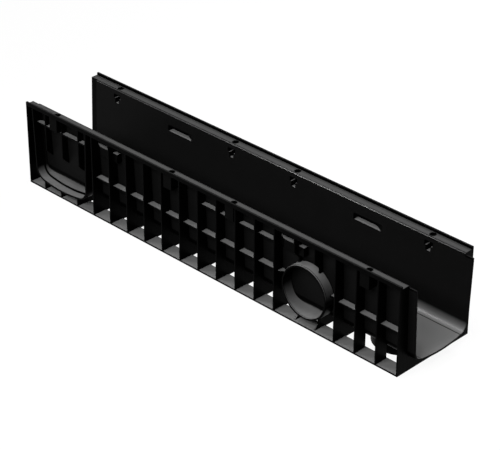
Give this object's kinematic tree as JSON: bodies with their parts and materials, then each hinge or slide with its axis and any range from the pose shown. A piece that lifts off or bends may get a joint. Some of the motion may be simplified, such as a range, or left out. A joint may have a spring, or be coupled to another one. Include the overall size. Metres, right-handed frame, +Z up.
{
  "type": "drainage channel",
  "caption": "Ribbed plastic drainage channel with a dished U-shaped trough, grating ledges, a spigot and socket for joining, and pipe and tee connections.",
  "frame": {"origin": "on the base plane, at the middle of the build length and of the width", "axes": "+X along the channel from socket to spigot, +Y away from the connection side, +Z up"},
  "size_m": [1.0175, 0.196, 0.185],
  "materials": {
    "black_plastic": "satin moulded polypropylene with a fine grain"
  },
  "bodies": {
    "root": {"channel_body": "black_plastic"}
  },
  "joints": []
}
